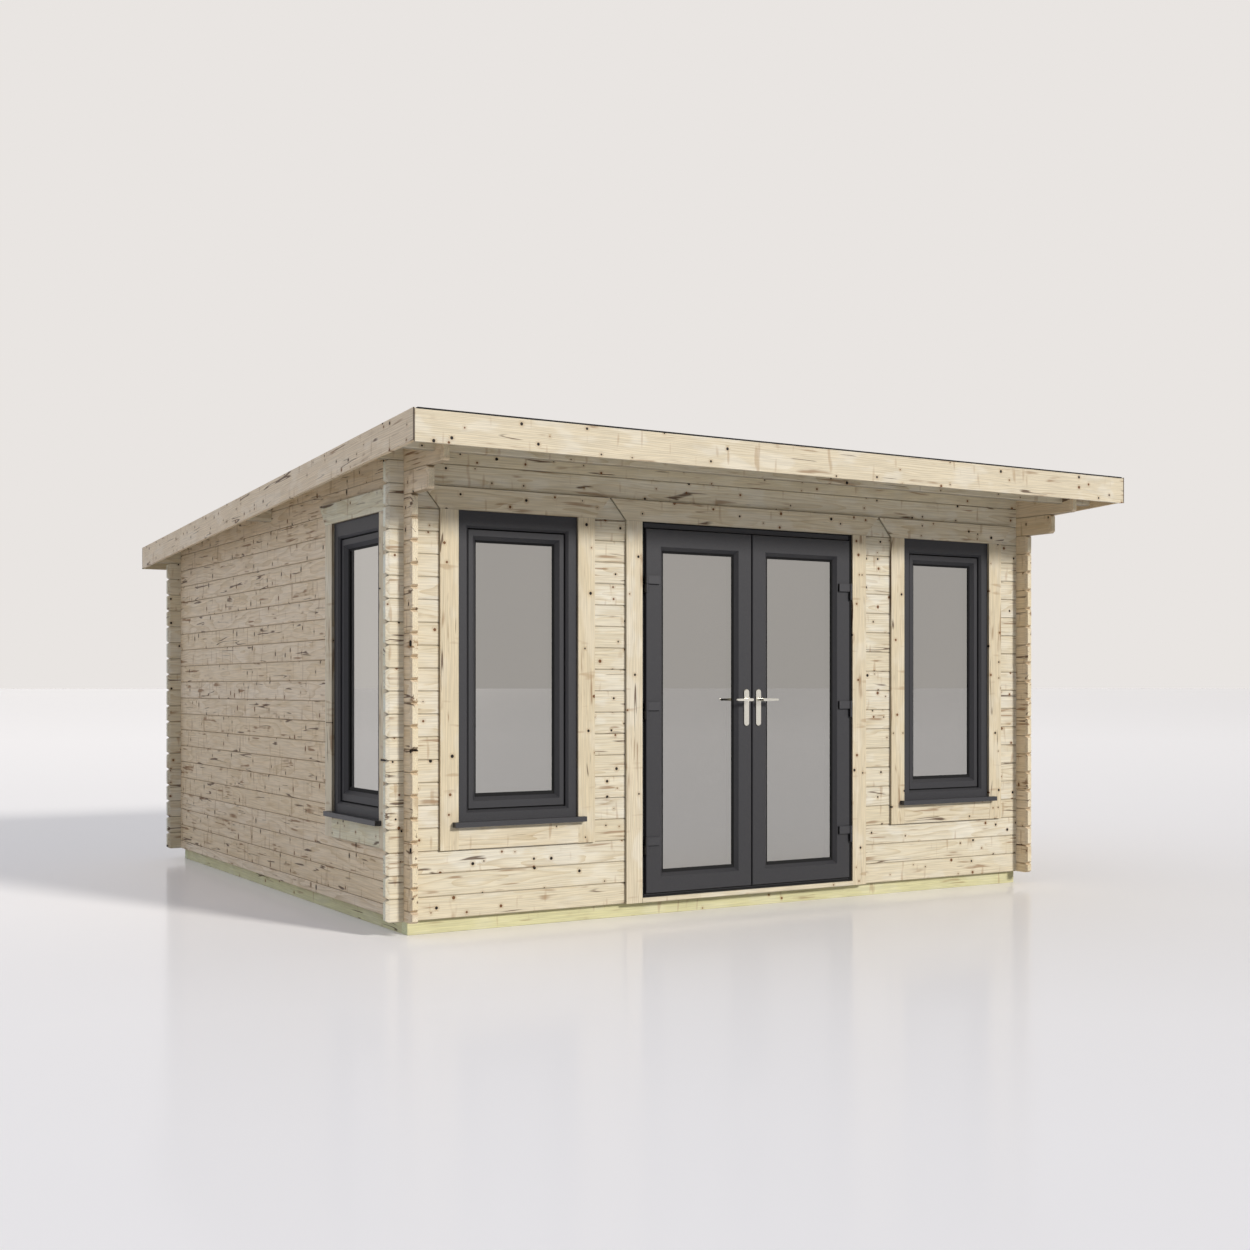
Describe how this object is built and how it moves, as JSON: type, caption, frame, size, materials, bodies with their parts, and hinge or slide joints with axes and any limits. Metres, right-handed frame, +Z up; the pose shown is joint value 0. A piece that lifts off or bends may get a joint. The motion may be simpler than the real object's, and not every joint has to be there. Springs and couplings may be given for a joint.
{
  "type": "garden office pod",
  "caption": "Pent-roofed log cabin with interlocking corner joints, glazed French doors and tall casement windows, for use as a garden office.",
  "frame": {"origin": "on the ground under the middle of the roof", "axes": "+Z up, the doors face -Y, +X to the right as seen from in front"},
  "size_m": [4.624, 4.99, 2.501],
  "materials": {
    "spruce": "planed, untreated spruce with small dark knots",
    "treated_pine": "pressure-treated softwood, faintly green",
    "roof_membrane": "black rubber roof sheet",
    "anthracite_upvc": "anthracite foil on plastic profiles",
    "anthracite_sill": "anthracite, satin",
    "window_glass": "clear double glazing",
    "hinge_coat": "anthracite powder coat",
    "handle_steel": "satin"
  },
  "bodies": {
    "cabin": {"front_wall_left_even_logs": "spruce", "front_wall_left_odd_logs": "spruce", "front_wall_right_even_logs": "spruce", "front_wall_right_odd_logs": "spruce", "front_wall_head_even_logs": "spruce", "front_wall_head_odd_log": "spruce", "back_wall_even_logs": "spruce", "back_wall_odd_logs": "spruce", "left_wall_even_logs": "spruce", "left_wall_odd_logs": "spruce", "right_wall_even_logs": "spruce", "right_wall_odd_logs": "spruce", "purlins": "spruce", "front_and_back_bearers": "treated_pine", "side_bearers": "treated_pine", "floor_joists": "spruce", "floor_boards": "spruce", "roof_boards": "spruce", "roof_membrane": "roof_membrane", "front_fascia": "spruce", "back_fascia": "spruce", "side_fascias": "spruce", "window_frames": "anthracite_upvc", "window_sashes": "anthracite_upvc", "window_panes": "window_glass", "window_sills": "anthracite_sill", "window_side_trims": "spruce", "window_foot_trims": "spruce", "window_head_trims": "spruce", "timber_door_sill": "spruce", "door_frame": "anthracite_upvc", "door_side_trims": "spruce", "door_head_trim": "spruce", "frame_hinges": "hinge_coat"},
    "left_door": {"left_door_leaf": "anthracite_upvc", "left_door_pane": "window_glass", "left_leaf_hinges": "hinge_coat", "left_handle_plates": "handle_steel"},
    "right_door": {"right_door_leaf": "anthracite_upvc", "right_door_pane": "window_glass", "right_leaf_hinges": "hinge_coat", "right_handle_plates": "handle_steel"},
    "left_lever": {"left_lever": "handle_steel"},
    "right_lever": {"right_lever": "handle_steel"}
  },
  "joints": [
    {"name": "left_door_hinge", "type": "hinge", "parent": "cabin", "child": "left_door", "pos_m": [-0.7, -1.889, 1.105], "axis": [0, 0, -1], "range_deg": [0, 100]},
    {"name": "right_door_hinge", "type": "hinge", "parent": "cabin", "child": "right_door", "pos_m": [0.7, -1.889, 1.105], "axis": [0, 0, 1], "range_deg": [0, 100]},
    {"name": "left_lever_pivot", "type": "hinge", "parent": "left_door", "child": "left_lever", "pos_m": [-0.041, -1.848, 1.163], "axis": [0, -1, 0], "range_deg": [-45, 45], "stiffness_Nm_per_rad": 3},
    {"name": "right_lever_pivot", "type": "hinge", "parent": "right_door", "child": "right_lever", "pos_m": [0.041, -1.848, 1.163], "axis": [0, 1, 0], "range_deg": [-45, 45], "stiffness_Nm_per_rad": 3}
  ]
}
